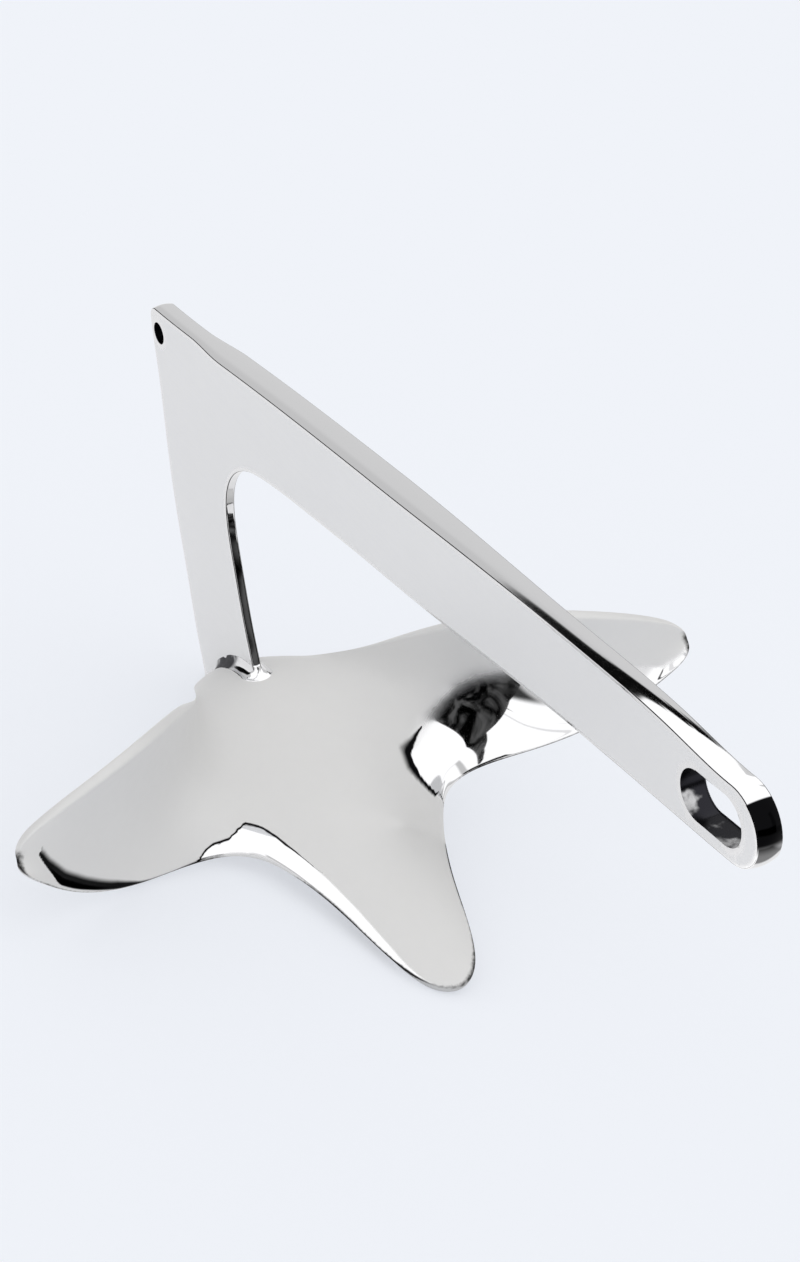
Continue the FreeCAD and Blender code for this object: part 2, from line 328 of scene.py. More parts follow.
def makeClaw():
    shares = [-s for s in reversed(claw["shares"][1:])] + claw["shares"]
    bm = bmesh.new()
    first = ring = firstRing(bm, clawSection(shares[0]))
    for share in shares[1:]:
        ring = growRing(bm, ring, clawSection(share))
    for end in (first, ring):
        bmesh.ops.contextual_create(bm, geom=ringEdges(bm, end))
    bmesh.ops.recalc_face_normals(bm, faces=bm.faces[:])
    cage = makeObject("palm_cage", bm)
    smooth = cage.modifiers.new("smooth", "SUBSURF")
    smooth.levels = smooth.render_levels = claw["levels"]
    mesh = bpy.data.meshes.new_from_object(cage.evaluated_get(bpy.context.evaluated_depsgraph_get()))
    bpy.data.objects.remove(cage)
    mesh.name = "palm_and_flukes"
    markPalm(mesh)
    made = bpy.data.objects.new("palm_and_flukes", mesh)
    bpy.context.scene.collection.objects.link(made)
    return made


# Shank: the flat arm with its shackle slot, and the leg down to the palm. Points are (along, up).
shank = {
    "topEdge": [(-2.2, 10.0), (80, 13.2), (160, 16.0), (240, 17.4), (320, 17.6), (375, 16.2)],
    "bottomEdge": [(86, -28.4), (120, -25.7), (165, -22.6), (225, -19.2), (300, -15.4), (375, -14.0)],
    "windowCorner": [(72, -31.0), (58, -37.4), (48.2, -49.0), (45.6, -66)],
    "legInner": [(48.0, -82), (51.4, -99), (54.8, -113), (60.4, -131.6)],
    "legBack": [(-7.2, 5.0), (-5.2, -18), (-3.4, -52), (-0.6, -80), (4.4, -108), (9.4, -136),
                (12.8, -151.8)],
    "innerEndSlope": (0.27, -1),
    "backEndSlope": (0.08, -1),
    "soleAt": (0.27, 0.18, 0.1),
    "crownRound": 5.0,
    "holeRadius": 5.0,
    "slotMiddle": 395.5,
    "slotLength": 34.0,
    "slotWidth": 18.8,
    "slotTilt": 1.7,
    "eyeRadius": 13.9,
    "eyeShift": 11.2,
    # darkEnd, darkFade and cornerFrom place painted dark reflections on the eye's end and along the corners
    "darkEnd": (56.5, -11),
    "darkFade": (0.3, 0.034),
    "cornerFrom": (80, 0),
    "satinFrom": 1.0,
    "satinOver": 1.2,
    "holeReach": 1.0,
    "faceDepth": 0.02,
    "edgeShare": (0.1, 0.9),
    "edgeRound": 0.5,
    "edgeSteps": 4,
    "spacing": 2.0,
    "noseSteps": 25,
    "cornerSteps": 9,
    "slotSteps": 21,
    "holeSteps": 41,
    "wallSteps": 8,
    "wallCrown": 0.28,
    "crownFade": (1.5, 3.5),
    "grid": 3.0,
    "gridX": (-6, 422),
    "gridZ": (-150, 18),
    "legSink": 4.0,
    "lugHalf": 4.2,
    "armHalf": 6.1,
    "armEndHalf": 4.5,
    "innerHalf": 1.9,
    "lugFade": (30, 62),
    "endFade": (185, 310),
    "innerAlong": (0, 48),
    "innerDown": (10, -36),
    "innerFade": (100, 310),
    "innerLean": (-60, 0.12),
}


# Half the plate's thickness: thin at the crown's lug, full along the arm, thinner towards the slot,
# and tapering to a narrow inner wall around the window
def halfThickness(x, z):
    full = shank["lugHalf"] + (shank["armHalf"] - shank["lugHalf"]) * smoothStep(*shank["lugFade"], x)
    full -= (shank["armHalf"] - shank["armEndHalf"]) * smoothStep(*shank["endFade"], x)
    leanFrom, lean = shank["innerLean"]
    inward = smoothStep(*shank["innerAlong"], x - lean * max(0.0, leanFrom - z))
    downward = smoothStep(*shank["innerDown"], z)
    fade = 1 - smoothStep(*shank["innerFade"], x)
    return full - (full - shank["innerHalf"]) * inward * downward * fade


def arcPoints(centre, radius, start, end, count):
    angles = np.radians(np.linspace(start, end, count))
    return np.array([(centre[0] + radius * math.cos(a), centre[1] + radius * math.sin(a)) for a in angles])


def shankOutline():
    lean = math.radians(shank["slotTilt"])
    along = np.array((math.cos(lean), math.sin(lean)))
    upward = np.array((-math.sin(lean), math.cos(lean)))
    eye = np.array((shank["slotMiddle"], 0)) + along * shank["eyeShift"]
    endTop = eye + upward * shank["eyeRadius"]
    endBottom = eye - upward * shank["eyeRadius"]
    gap = shank["spacing"]
    upper = evenly(smoothCurve(shank["topEdge"] + [endTop], (1, 0), along), gap)
    tilt = shank["slotTilt"]
    nose = arcPoints(eye, shank["eyeRadius"], 90 + tilt, -90 + tilt, shank["noseSteps"])
    inner = [endBottom] + shank["bottomEdge"][::-1] + shank["windowCorner"] + shank["legInner"]
    inner = evenly(smoothCurve(inner, -along, shank["innerEndSlope"]), gap)
    sole = [palmPoint(0, s) - palmNormal(0, s) * shank["legSink"] for s in shank["soleAt"]]
    sole = evenly(smoothCurve([inner[-1]] + [(p[0], p[2]) for p in sole] + [shank["legBack"][-1]]), gap)
    back = evenly(smoothCurve(shank["legBack"], (0, -1), shank["backEndSlope"]), gap)[::-1]
    r = shank["crownRound"]
    crownX, crownZ = shank["legBack"][0]
    corner = arcPoints((crownX + r, crownZ), r, 180, 90, shank["cornerSteps"])
    return np.concatenate([part[:-1] for part in (upper, nose, inner, sole, back, corner)])


def slotOutline():
    r = shank["slotWidth"] / 2
    half = (shank["slotLength"] - shank["slotWidth"]) / 2
    steps = shank["slotSteps"]
    far = arcPoints((half, 0), r, -90, 90, steps)
    near = arcPoints((-half, 0), r, 90, 270, steps)
    ends = np.concatenate([far, near])
    lean = math.radians(shank["slotTilt"])
    turn = np.array(((math.cos(lean), -math.sin(lean)), (math.sin(lean), math.cos(lean))))
    return ends @ turn.T + (shank["slotMiddle"], 0)


# Wall of the plate along one outline, with a rounded edge on both faces and a crowned middle.
# Across the plate, 1 is where the wall's edge rounding starts and 2 is the face.
# Returns the two rings where the wall meets the faces.
def plateWall(bm, outline, crown):
    ahead = np.roll(outline, -1, axis=0) - np.roll(outline, 1, axis=0)
    ahead /= np.linalg.norm(ahead, axis=1)[:, None]
    inward = np.stack((ahead[:, 1], -ahead[:, 0]), axis=1)
    steps = shank["edgeSteps"]
    r = shank["edgeRound"]
    width = np.array([halfThickness(x, z) - r for x, z in outline])
    bulge = width * crown / 2 * np.array([smoothStep(*shank["crownFade"], w) for w in width])
    profile = []
    for k in range(steps):
        turn = math.radians(90 * k / steps)
        profile.append((-1 - math.cos(turn), r * (1 - math.sin(turn)) + bulge / 2))
    for k in range(shank["wallSteps"] + 1):
        side = -1 + 2 * k / shank["wallSteps"]
        profile.append((side, bulge / 2 - bulge * (1 - side * side)))
    profile += [(-side, offset) for side, offset in reversed(profile[:steps])]
    rings = []
    for side, offset in profile:
        moved = outline + inward * (np.zeros(len(outline)) + offset)[:, None]
        places = [(p[0], side, p[1]) for p in moved]
        rings.append(growRing(bm, rings[-1], places) if rings else firstRing(bm, places))
    return rings[0], rings[-1]


# Polish of the plate: satin on its faces, with painted shade and painted reflection patches in its holes,
# and a painted dark reflection line along its corners except under the arm. The eye's end has a painted
# dark reflection between two angles, crisp at the upper one and fading at the lower one.
def markShank(mesh, outline, holes):
    rim = np.concatenate([outline, holes])
    outer, inner = KDTree(len(rim)), KDTree(len(holes))
    for tree, points in ((outer, rim), (inner, holes)):
        for i, (x, z) in enumerate(points):
            tree.insert((x, 0, z), i)
        tree.balance()
    values = newValues(mesh, "softness", "recess", "cornerGap", "borderGap")
    r = shank["edgeRound"]
    lean = math.radians(shank["slotTilt"])
    eyeX = shank["slotMiddle"] + shank["eyeShift"] * math.cos(lean)
    eyeZ = shank["eyeShift"] * math.sin(lean)
    upper, lower = shank["darkEnd"]
    upperFade, lowerFade = shank["darkFade"]
    lineX, lineZ = shank["cornerFrom"]
    edgeLow, edgeHigh = (share * r for share in shank["edgeShare"])
    for v in mesh.vertices:
        flat = Vector((v.co.x, 0, v.co.z))
        fall = halfThickness(v.co.x, v.co.z) - abs(v.co.y)
        inside = inner.find(flat)[2] < shank["holeReach"]
        cheek = fall < shank["faceDepth"]
        satin = (outer.find(flat)[2] - shank["satinFrom"]) / shank["satinOver"]
        values["softness"][v.index].value = satin if cheek else 0.0
        # recess marks the holes for painted shade with painted reflection patches
        values["recess"][v.index].value = 1.0 if inside and not cheek else 0.0
        edge = not inside and edgeLow < fall < edgeHigh
        # painted dark reflection line along the corners, except under the arm
        lined = edge and (v.co.z > lineZ or v.co.x < lineX)
        values["cornerGap"][v.index].value = 0.0 if lined else noLine
        values["borderGap"][v.index].value = noLine
        # painted dark reflection on the eye's end
        if v.co.x > eyeX and not inside and fall > shank["faceDepth"]:
            angle = math.degrees(math.atan2(v.co.z - eyeZ, v.co.x - eyeX))
            past = max(upperFade * (angle - upper), lowerFade * (lower - angle))
            values["borderGap"][v.index].value = max(lineEdge + past, 0)


def makeShank():
    bm = bmesh.new()
    outline = shankOutline()
    hole = arcPoints((0, 0), shank["holeRadius"], 0, 360, shank["holeSteps"])[:-1]
    walls = [plateWall(bm, outline, shank["wallCrown"]), plateWall(bm, hole[::-1], 0),
             plateWall(bm, slotOutline()[::-1], 0)]
    for face in (0, 1):
        rim = [e for wall in walls for e in ringEdges(bm, wall[face])]
        filled = bmesh.ops.triangle_fill(bm, edges=rim, use_beauty=True)["geom"]
        cheek = [f for f in filled if isinstance(f, bmesh.types.BMFace)]
        rimSet = set(rim)
        for f in cheek:
            for e in f.edges:
                if e not in rimSet:
                    e.seam = True  # an edge of the fill, dissolved once the grid is cut
    level = 1.999  # just under the 2 that stands for a face
    for axis, (low, high) in (((1, 0, 0), shank["gridX"]), ((0, 0, 1), shank["gridZ"])):
        place = low
        while place < high:
            cheek = [f for f in bm.faces if all(abs(v.co.y) > level for v in f.verts)]
            edges = list(dict.fromkeys(e for f in cheek for e in f.edges))
            verts = list(dict.fromkeys(v for f in cheek for v in f.verts))
            bmesh.ops.bisect_plane(bm, geom=verts + edges + cheek, dist=0.02, plane_no=axis,
                                   plane_co=Vector(axis) * place)
            place += shank["grid"]
    bmesh.ops.dissolve_edges(bm, edges=[e for e in bm.edges if e.seam], use_verts=False)
    for v in bm.verts:
        wall = halfThickness(v.co.x, v.co.z) - shank["edgeRound"]
        side = abs(v.co.y)
        v.co.y = math.copysign(wall * min(side, 1) + shank["edgeRound"] * max(side - 1, 0), v.co.y)
    bmesh.ops.recalc_face_normals(bm, faces=bm.faces[:])
    made = makeObject("shank", bm)
    markShank(made.data, outline, np.concatenate([hole, slotOutline()]))
    weighted = made.modifiers.new("even shading", "WEIGHTED_NORMAL")
    weighted.keep_sharp = True
    return made


# Fillet where the leg's foot meets the palm: an arc swept round the foot, which touches the leg and the
# palm. The seam at its sides is rougher and has painted shade with painted reflection patches, and its
# front is a mirror.
foot = {
    "radius": 4.4,
    "startRadius": 0.6,
    "startX": 19.0,
    "fullX": 30.0,
    "frontX": 59.0,
    "depth": -127,
    "pathStep": 1.5,
    "turnStep": 10,
    "rayFrom": -60,
    "tries": 6,
    "arcSteps": 10,
    "bury": 1.0,
    "mirrorFrom": (40, 50),
    "seam": (24, 30, 43, 46),
}


def makeFoot(clawObject):
    surface = BVHTree.FromObject(clawObject, bpy.context.evaluated_depsgraph_get())
    depth = foot["depth"]
    tipHalf = halfThickness(foot["frontX"], depth)
    path = []
    for x in np.arange(foot["startX"], foot["frontX"] - tipHalf, foot["pathStep"]):
        radius = foot["startRadius"]
        radius += (foot["radius"] - radius) * smoothStep(foot["startX"], foot["fullX"], x)
        slope = (halfThickness(x + 1, depth) - halfThickness(x - 1, depth)) / 2
        path.append((x, halfThickness(x, depth), Vector((-slope, 1, 0)).normalized(), radius))
    centre = foot["frontX"] - tipHalf
    front = []
    for angle in range(90, -1, -foot["turnStep"]):
        a = math.radians(angle)
        front.append((centre + tipHalf * math.cos(a), tipHalf * math.sin(a),
                      Vector((math.cos(a), math.sin(a), 0)), foot["radius"]))
    half = path + front
    other = [(x, -y, Vector((m.x, -m.y, 0)), r) for x, y, m, r in reversed(half[:-1])]
    bm = bmesh.new()
    ring = None
    for x, y, m, radius in half + other:
        start = Vector((x, y, 0))
        reach = radius  # moved until the arc touches both the leg and the palm
        for attempt in range(foot["tries"]):
            spot = start + m * reach
            above = Vector((spot.x, spot.y, foot["rayFrom"]))
            hit, normal, _, _ = surface.ray_cast(above, Vector((0, 0, -1)))
            if hit is None:
                break
            if normal.z < 0:
                normal = -normal
            middle = hit + normal * radius
            reach -= (middle - start).dot(m) - radius
        if hit is None:
            continue
        places = []
        for k in range(foot["arcSteps"] + 1):
            t = k / foot["arcSteps"]
            places.append(middle + (-m).slerp(-normal, t) * radius)
        places.append(places[-1] - normal * foot["bury"])
        corner = start - m * foot["bury"]
        places.append(Vector((corner.x, corner.y, places[-1].z)))
        places.append(Vector((corner.x, corner.y, places[0].z)))
        if ring is None:
            first = ring = firstRing(bm, places)
        else:
            ring = growRing(bm, ring, places)
    for end in (first, ring):
        bmesh.ops.contextual_create(bm, geom=ringEdges(bm, end))
    bmesh.ops.recalc_face_normals(bm, faces=bm.faces[:])
    made = makeObject("foot_fillet", bm)
    values = newValues(made.data, "softness", "recess", "cornerGap", "borderGap")
    start, full, fade, end = foot["seam"]
    for v in made.data.vertices:
        seam = smoothStep(start, full, v.co.x) * (1 - smoothStep(fade, end, v.co.x))
        # the seam gets painted shade with painted reflection patches
        values["recess"][v.index].value = seam
        values["softness"][v.index].value = 1 - smoothStep(*foot["mirrorFrom"], v.co.x)
        values["cornerGap"][v.index].value = noLine
        values["borderGap"][v.index].value = noLine
    return made


clawObject = makeClaw()
print("claw made")
shankObject = makeShank()
print("shank made")
footObject = makeFoot(clawObject)
print("foot fillet made")

# Polished stainless steel: a mirror along the edges and on the plate's narrow sides, satin on the broad
# faces of the palm and the shank, and rougher inside the holes, with painted shade and painted reflection
# patches there
steel = {
    "palm": {
        "colour": (0.69, 0.687, 0.683),
        "metallic": 0.22,
        "roughness": 0.5,
        "markScale": (260, 260, 260),
        "markDepth": 0.00002,
    },
    "shank": {
        "colour": (0.77, 0.77, 0.775),
        "metallic": 0.35,
        "roughness": 0.36,
        "markScale": (30, 900, 900),
        "markDepth": 0.00001,
    },
    "mirrorColour": (0.80, 0.80, 0.81),
    "mirrorRoughness": 0.035,
    # painted shade in the recesses, with painted reflection patches of the lighter colour
    "recessShadeColour": (0.025, 0.025, 0.03),
    "recessReflectionColour": (0.5, 0.5, 0.51),
    "recessScale": 120.0,
    "recessPatches": (0.55, 0.69),
    "recessRoughness": 0.2,
    # colour of the painted dark reflections along the lines
    "darkReflectionColour": (0.004, 0.004, 0.0045),
    "lineFade": (0.3, 1.0),
    "clouds": 22.0,
    "cloudRoughness": 0.2,
    "markRoughness": 0.25,
    "nicks": 700.0,
    "nickWander": 0.5,
    "nickRoughness": 0.02,
    "nickHeight": 0.1,
}


def linkMath(tree, operation, *values):
    node = tree.nodes.new("ShaderNodeMath")
    node.operation = operation
    for i, value in enumerate(values):
        if isinstance(value, bpy.types.NodeSocket):
            tree.links.new(value, node.inputs[i])
        else:
            node.inputs[i].default_value = value
    return node.outputs[0]


# Value that goes smoothly from one level to another as the input passes a range
def linkStep(tree, value, start, end, low=0.0, high=1.0):
    node = tree.nodes.new("ShaderNodeMapRange")
    node.interpolation_type = "SMOOTHSTEP"
    tree.links.new(value, node.inputs["Value"])
    for name, level in (("From Min", start), ("From Max", end), ("To Min", low), ("To Max", high)):
        node.inputs[name].default_value = level
    return node.outputs["Result"]


def linkAttribute(tree, name):
    node = tree.nodes.new("ShaderNodeAttribute")
    node.attribute_name = name
    return node.outputs["Fac"]


def linkMix(tree, mask, first, second):
    node = tree.nodes.new("ShaderNodeMix")
    node.data_type = "RGBA"
    tree.links.new(mask, node.inputs["Factor"])
    for name, value in (("A", first), ("B", second)):
        if isinstance(value, bpy.types.NodeSocket):
            tree.links.new(value, node.inputs[name])
        else:
            node.inputs[name].default_value = (*value, 1)
    return node.outputs["Result"]


def linkNoise(tree, place, scale, detail, distortion=0.0):
    node = tree.nodes.new("ShaderNodeTexNoise")
    node.inputs["Scale"].default_value = scale
    node.inputs["Detail"].default_value = detail
    node.inputs["Distortion"].default_value = distortion
    tree.links.new(place, node.inputs["Vector"])
    return node.outputs["Fac"]


# Level that rises over one range of the input and falls again over another
def linkBand(tree, value, riseFrom, riseTo, fallFrom, fallTo):
    rise = linkStep(tree, value, riseFrom, riseTo)
    return linkMath(tree, "MULTIPLY", rise, linkStep(tree, value, fallFrom, fallTo, 1.0, 0.0))


# Group shared by the steels. Soft goes from the mirror to the satin face and Line follows the painted dark
# reflections along corners and borders, which small nicks make uneven. Metallic and Roughness go with them,
# and Height holds the strokes of polishing.
def polishAndDarkReflectionsGroup():
    group = bpy.data.node_groups.new("polishAndDarkReflections", "ShaderNodeTree")
    sockets = [("Mark Scale", "NodeSocketVector"), ("Mirror Roughness", "NodeSocketFloat"),
               ("Face Roughness", "NodeSocketFloat"), ("Face Metallic", "NodeSocketFloat")]
    for name, kind in sockets:
        group.interface.new_socket(name, in_out="INPUT", socket_type=kind)
    for name in ("Soft", "Line", "Metallic", "Roughness", "Height"):
        group.interface.new_socket(name, in_out="OUTPUT", socket_type="NodeSocketFloat")
    given = group.nodes.new("NodeGroupInput").outputs
    found = group.nodes.new("NodeGroupOutput").inputs
    place = group.nodes.new("ShaderNodeTexCoord").outputs["Object"]
    soft = linkStep(group, linkAttribute(group, "softness"), 0.0, 1.0)
    corner, border = [linkMath(group, "ABSOLUTE", linkAttribute(group, name))
                      for name in ("cornerGap", "borderGap")]
    nicks = linkNoise(group, place, steel["nicks"], 2)
    wander = steel["nickWander"]
    corner = linkMath(group, "ADD", corner, linkMath(group, "MULTIPLY_ADD", nicks, wander, -wander / 2))
    # Line: mask of the painted dark reflections
    line = linkStep(group, linkMath(group, "MINIMUM", corner, border), *steel["lineFade"], 1.0, 0.0)
    stretched = group.nodes.new("ShaderNodeVectorMath")
    stretched.operation = "MULTIPLY"
    group.links.new(place, stretched.inputs[0])
    group.links.new(given["Mark Scale"], stretched.inputs[1])
    marks = linkMath(group, "SUBTRACT", linkNoise(group, stretched.outputs[0], 1.0, 4, 0.3), 0.5)
    clouds = linkMath(group, "SUBTRACT", linkNoise(group, place, steel["clouds"], 3), 0.5)
    uneven = linkMath(group, "MULTIPLY", clouds, steel["cloudRoughness"])
    uneven = linkMath(group, "MULTIPLY_ADD", marks, steel["markRoughness"], uneven)
    mirror = linkMath(group, "MULTIPLY_ADD", nicks, steel["nickRoughness"], given["Mirror Roughness"])
    satin = linkMath(group, "ADD", given["Face Roughness"], uneven)
    rough = linkMath(group, "MULTIPLY_ADD", soft, satin, mirror)
    drop = linkMath(group, "SUBTRACT", given["Face Metallic"], 1.0)
    metallic = linkMath(group, "MAXIMUM", linkMath(group, "MULTIPLY_ADD", soft, drop, 1.0), line)
    relief = linkMath(group, "ADD", marks, linkMath(group, "MULTIPLY", nicks, steel["nickHeight"]))
    height = linkMath(group, "MULTIPLY", relief, soft)
    for name, value in (("Soft", soft), ("Line", line), ("Metallic", metallic), ("Roughness", rough),
                        ("Height", height)):
        group.links.new(value, found[name])
    return group


polishAndDarkReflections = polishAndDarkReflectionsGroup()


# Steel that goes from a mirror to a satin face, rougher in the recesses with painted shade and painted
# reflection patches there, and with painted dark reflections along the lines
def newSteel(name):
    face = steel[name]
    material = bpy.data.materials.new("polished steel " + name)
    material.use_nodes = True
    tree = material.node_tree
    shader = tree.nodes["Principled BSDF"]
    finish = tree.nodes.new("ShaderNodeGroup")
    finish.node_tree = polishAndDarkReflections
    finish.inputs["Mark Scale"].default_value = face["markScale"]
    finish.inputs["Mirror Roughness"].default_value = steel["mirrorRoughness"]
    finish.inputs["Face Roughness"].default_value = face["roughness"]
    finish.inputs["Face Metallic"].default_value = face["metallic"]
    tree.links.new(finish.outputs["Metallic"], shader.inputs["Metallic"])
    recess = linkAttribute(tree, "recess")
    rough = linkMath(tree, "MULTIPLY_ADD", recess, steel["recessRoughness"], finish.outputs["Roughness"])
    tree.links.new(rough, shader.inputs["Roughness"])
    colour = linkMix(tree, finish.outputs["Soft"], steel["mirrorColour"], face["colour"])
    # painted dark reflections along the lines
    colour = linkMix(tree, finish.outputs["Line"], colour, steel["darkReflectionColour"])
    place = tree.nodes.new("ShaderNodeTexCoord").outputs["Object"]
    # painted shade with painted reflection patches in the recesses
    patches = linkStep(tree, linkNoise(tree, place, steel["recessScale"], 3), *steel["recessPatches"])
    paintedRecessShade = linkMix(tree, patches, steel["recessShadeColour"], steel["recessReflectionColour"])
    colour = linkMix(tree, recess, colour, paintedRecessShade)
    tree.links.new(colour, shader.inputs["Base Color"])
    bump = tree.nodes.new("ShaderNodeBump")
    bump.inputs["Distance"].default_value = face["markDepth"]
    tree.links.new(finish.outputs["Height"], bump.inputs["Height"])
    tree.links.new(bump.outputs["Normal"], shader.inputs["Normal"])
    return material


palmSteel = newSteel("palm")
shankSteel = newSteel("shank")
for piece, material in ((clawObject, palmSteel), (shankObject, shankSteel), (footObject, shankSteel)):
    piece.data.transform(layDown)
    piece.data.materials.append(material)
    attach(piece, "root")
    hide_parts("claw_anchor")
print("steel laid down and finished")

# Studio: a pale floor, even light from all round, and screens that only the mirror finish sees.
# A screen is (level, from and to round the horizon, from and to above it, softness), in degrees. A
# shade darkens a part of the floor that the mirror finish sees: its level, then where it rises and
# falls along x and along y. A card is its level, its plane (x at zero, per y, per z) and its outline
# of (y, z).
studio = {
    "floorColour": (0.871, 0.896, 0.947),
    "floorMirrored": (0.93, 0.93, 0.935),
    "floorGlow": 0.5,
    "floorSize": 12.0,
    "skyLevel": 0.66,
    "screens": [
        (0.74, 128, 172, -5, 31, 8),
        (1.28, -122, -60, 20, 60, 4),
        (1.28, -62, 5, -8, 46, 4),
        (1.28, 0, 35, 17, 46, 4),
        (1.28, 138, 202, 34, 60, 3),
        (1.28, -190, 190, 44, 92, 4),
        (0.004, 0, 44, 1, 15, 3),
        (0.003, -174, -130, -12, 16, 4),
        (0.003, 163, 200, 32, 38.4, 0.8),
        (0.003, 150, 164.5, 31.5, 37.2, 1.5),
        (0.003, 141, 151, 29.5, 34.5, 1.5),
        (0.003, 138, 145, 26.8, 31, 2),
        (0.003, 134, 140.6, 21, 27, 1.5),
        (1.28, 46, 95, 10, 44, 6),
        (1.28, 182, 204, 37.5, 60, 1.5),
    ],
    "shades": [
        (0.05, (-0.018, -0.013, 0.05, 0.09), (-0.07, -0.06, 0.05, 0.06)),
        (0.1, (0.05, 0.06, 0.28, 0.32), (-0.07, -0.06, -0.035, -0.03)),
        (0.25, (0.2, 0.25, 0.5, 0.6), (0.04, 0.08, 0.25, 0.35)),
    ],
    "brightX": (0.04, 0.08),
    "brightY": (-0.4, -0.3, 0.06, 0.1),
    "brightLevel": 1.28,
    "smokeScale": 45.0,
    "smokeTwist": 1.5,
    "smokeFade": (0.42, 0.66),
    "cards": {
        "bay_card": (0.1, (-0.0377, 0.5306, -0.3226), [
            (0.012, 0.075), (0.022, 0.05), (0.028, 0.0006), (0.0644, 0.0006), (0.0655, 0.0217),
            (0.0628, 0.041), (0.0662, 0.0602), (0.0745, 0.0588), (0.0785, 0.0557), (0.0845, 0.0487),
            (0.0853, 0.0495), (0.082, 0.0556), (0.078, 0.0605), (0.0735, 0.0662), (0.069, 0.0725),
            (0.0604, 0.0756), (0.0371, 0.0862), (0.0253, 0.091), (0.0144, 0.1083), (-0.0077, 0.1083)]),
        "top_card": (1.28, (0.1634, -0.1, -0.1852), [
            (-0.07, 0.25), (-0.02, 0.247), (-0.012, 0.2525), (-0.004, 0.2585), (0.006, 0.262),
            (0.018, 0.2625), (0.03, 0.2605), (0.045, 0.256), (0.13, 0.25), (0.13, 0.38), (-0.07, 0.38)]),
    },
}


# Floor: its plain colour for the camera and the light, and bright and shaded zones for the mirror finish
def floorMaterial():
    material = bpy.data.materials.new("pale floor")
    material.use_nodes = True
    tree = material.node_tree
    seen = tree.nodes["Principled BSDF"]
    mirrored = tree.nodes.new("ShaderNodeBsdfPrincipled")
    glow = studio["floorGlow"]
    for shader, colour in ((seen, studio["floorColour"]), (mirrored, studio["floorMirrored"])):
        shader.inputs["Base Color"].default_value = (*[c * (1 - glow) for c in colour], 1)
        shader.inputs["Roughness"].default_value = 1
        shader.inputs["Specular IOR Level"].default_value = 0
        shader.inputs["Emission Color"].default_value = (*colour, 1)
        shader.inputs["Emission Strength"].default_value = glow
    place = tree.nodes.new("ShaderNodeTexCoord")
    split = tree.nodes.new("ShaderNodeSeparateXYZ")
    tree.links.new(place.outputs["Object"], split.inputs[0])
    x, y, _ = split.outputs
    bright = linkBand(tree, y, *studio["brightY"])
    bright = linkMath(tree, "MULTIPLY", bright, linkStep(tree, x, *studio["brightX"]))
    zones = [(bright, studio["brightLevel"])]
    for level, alongX, alongY in studio["shades"]:
        shade = linkMath(tree, "MULTIPLY", linkBand(tree, x, *alongX), linkBand(tree, y, *alongY))
        zones.append((shade, level))
    path = tree.nodes.new("ShaderNodeLightPath")
    glossy = path.outputs["Is Glossy Ray"]
    output = tree.nodes["Material Output"]
    base = tree.nodes.new("ShaderNodeMixShader")
    tree.links.new(glossy, base.inputs["Fac"])
    tree.links.new(seen.outputs[0], base.inputs[1])
    tree.links.new(mirrored.outputs[0], base.inputs[2])
    last = base.outputs[0]
    for mask, level in zones:
        glow = tree.nodes.new("ShaderNodeEmission")
        glow.inputs["Strength"].default_value = level
        mix = tree.nodes.new("ShaderNodeMixShader")
        tree.links.new(linkMath(tree, "MULTIPLY", mask, glossy), mix.inputs["Fac"])
        tree.links.new(last, mix.inputs[1])
        tree.links.new(glow.outputs[0], mix.inputs[2])
        last = mix.outputs[0]
    tree.links.new(last, output.inputs["Surface"])
    return material


def makeFloor():
    bm = bmesh.new()
    bmesh.ops.create_grid(bm, x_segments=1, y_segments=1, size=studio["floorSize"] / 2)
    floor = makeObject("floor", bm)
    floor.data.materials.append(floorMaterial())


# Cards that only the mirror finish sees: a dark one with smoke on it for the bay between the middle
# tip and the far fluke, and a white one for the top of the arm
def makeCards():
    for name, (level, plane, outline) in studio["cards"].items():
        material = bpy.data.materials.new(name)
        material.use_nodes = True
        tree = material.node_tree
        tree.nodes.remove(tree.nodes["Principled BSDF"])
        glow = tree.nodes.new("ShaderNodeEmission")
        if name == "bay_card":
            place = tree.nodes.new("ShaderNodeTexCoord").outputs["Object"]
            smoke = linkNoise(tree, place, studio["smokeScale"], 4, studio["smokeTwist"])
            tree.links.new(linkStep(tree, smoke, *studio["smokeFade"], 0.0, level), glow.inputs["Strength"])
        else:
            glow.inputs["Strength"].default_value = level
        tree.links.new(glow.outputs[0], tree.nodes["Material Output"].inputs["Surface"])
        bm = bmesh.new()
        x, perY, perZ = plane
        ring = firstRing(bm, [(x + perY * y + perZ * z, y, z) for y, z in outline])
        bmesh.ops.contextual_create(bm, geom=ringEdges(bm, ring))
        card = makeObject(name, bm)
        card.data.materials.append(material)
        for kind in ("camera", "diffuse", "shadow", "transmission"):
            setattr(card, "visible_" + kind, False)


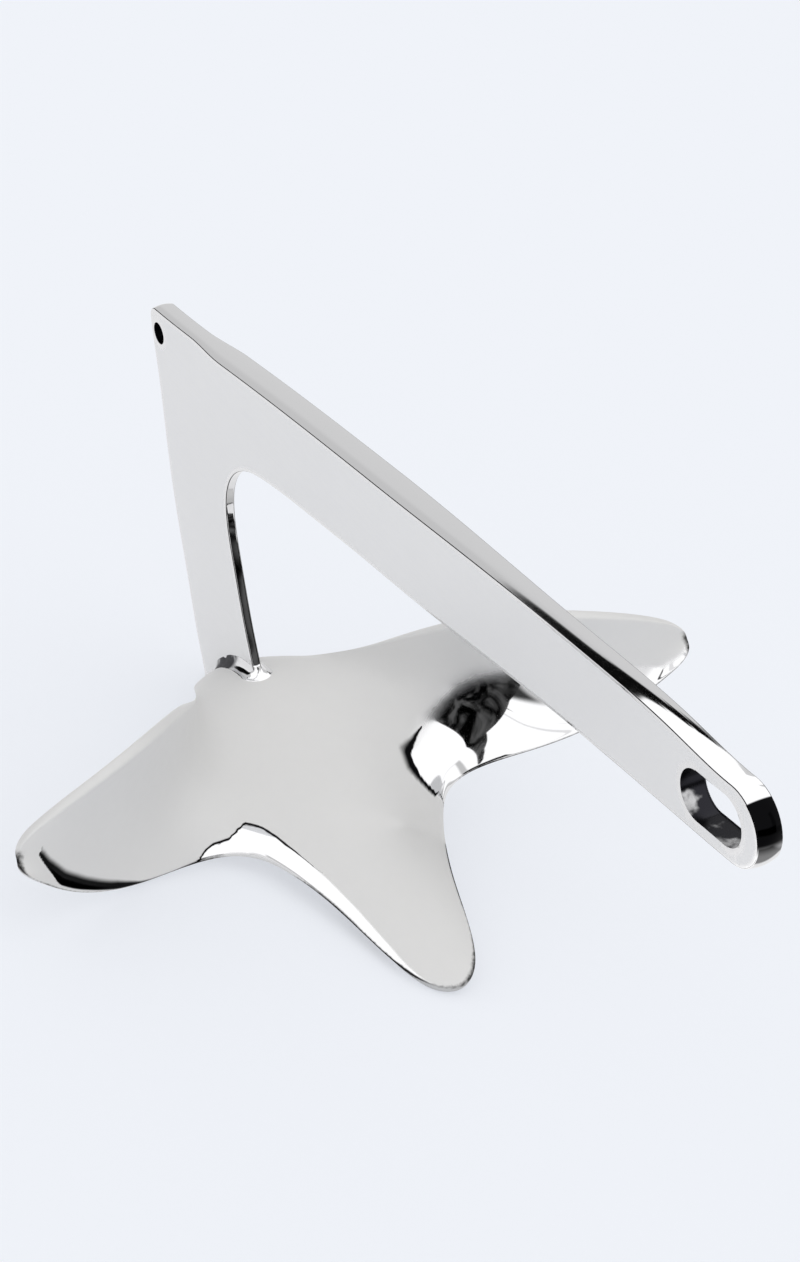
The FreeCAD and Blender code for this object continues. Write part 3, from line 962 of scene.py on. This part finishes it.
# World: the floor's colour for the camera, plain white light, and the screens for the mirror finish
def makeWorld():
    world = bpy.data.worlds.new("studio")
    bpy.context.scene.world = world
    world.use_nodes = True
    tree = world.node_tree
    output = tree.nodes["World Output"]
    even = tree.nodes["Background"]
    even.inputs["Color"].default_value = (1, 1, 1, 1)
    even.inputs["Strength"].default_value = 1
    seen = tree.nodes.new("ShaderNodeBackground")
    seen.inputs["Color"].default_value = (*studio["floorColour"], 1)
    mirrored = tree.nodes.new("ShaderNodeBackground")
    mirrored.inputs["Color"].default_value = (1, 1, 1, 1)
    place = tree.nodes.new("ShaderNodeTexCoord")
    split = tree.nodes.new("ShaderNodeSeparateXYZ")
    tree.links.new(place.outputs["Generated"], split.inputs[0])
    x, y, z = split.outputs
    around = linkMath(tree, "DEGREES", linkMath(tree, "ARCTAN2", y, x))
    above = linkMath(tree, "DEGREES", linkMath(tree, "ARCSINE", z))
    level = studio["skyLevel"]
    for value, left, right, low, high, soft in studio["screens"]:
        off = linkMath(tree, "WRAP", linkMath(tree, "SUBTRACT", around, (left + right) / 2), 180.0, -180.0)
        off = linkMath(tree, "ABSOLUTE", off)
        half = (right - left) / 2
        s = soft / 2
        mask = linkStep(tree, off, half - s, half + s, 1.0, 0.0)
        mask = linkMath(tree, "MULTIPLY", mask, linkBand(tree, above, low - s, low + s, high - s, high + s))
        change = linkMath(tree, "MULTIPLY", mask, linkMath(tree, "SUBTRACT", value, level))
        level = linkMath(tree, "ADD", level, change)
    tree.links.new(level, mirrored.inputs["Strength"])
    path = tree.nodes.new("ShaderNodeLightPath")
    first = tree.nodes.new("ShaderNodeMixShader")
    second = tree.nodes.new("ShaderNodeMixShader")
    tree.links.new(path.outputs["Is Camera Ray"], first.inputs["Fac"])
    tree.links.new(even.outputs["Background"], first.inputs[1])
    tree.links.new(seen.outputs["Background"], first.inputs[2])
    tree.links.new(path.outputs["Is Glossy Ray"], second.inputs["Fac"])
    tree.links.new(first.outputs["Shader"], second.inputs[1])
    tree.links.new(mirrored.outputs["Background"], second.inputs[2])
    tree.links.new(second.outputs["Shader"], output.inputs["Surface"])


makeFloor()
makeCards()
makeWorld()
bpy.context.scene.view_settings.view_transform = "Standard"
print("studio made")

# Camera at the photograph's angle
view = {
    "place": (0.7587, -0.5500, 0.6979),
    "right": (0.44322, 0.86934, 0.21864),
    "up": (-0.55643, 0.07557, 0.82745),
    "lens": 88.45,
    "sensor": 36,
    "nearest": 0.01,
}


def makeCamera():
    data = bpy.data.cameras.new("camera")
    camera = bpy.data.objects.new("camera", data)
    bpy.context.scene.collection.objects.link(camera)
    right = Vector(view["right"]).normalized()
    back = right.cross(Vector(view["up"])).normalized()
    up = back.cross(right)
    turn = Matrix((right, up, back)).transposed().to_4x4()
    camera.matrix_world = Matrix.Translation(view["place"]) @ turn
    data.lens = view["lens"]
    data.sensor_width = view["sensor"]
    data.clip_start = view["nearest"]
    bpy.context.scene.camera = camera


makeCamera()
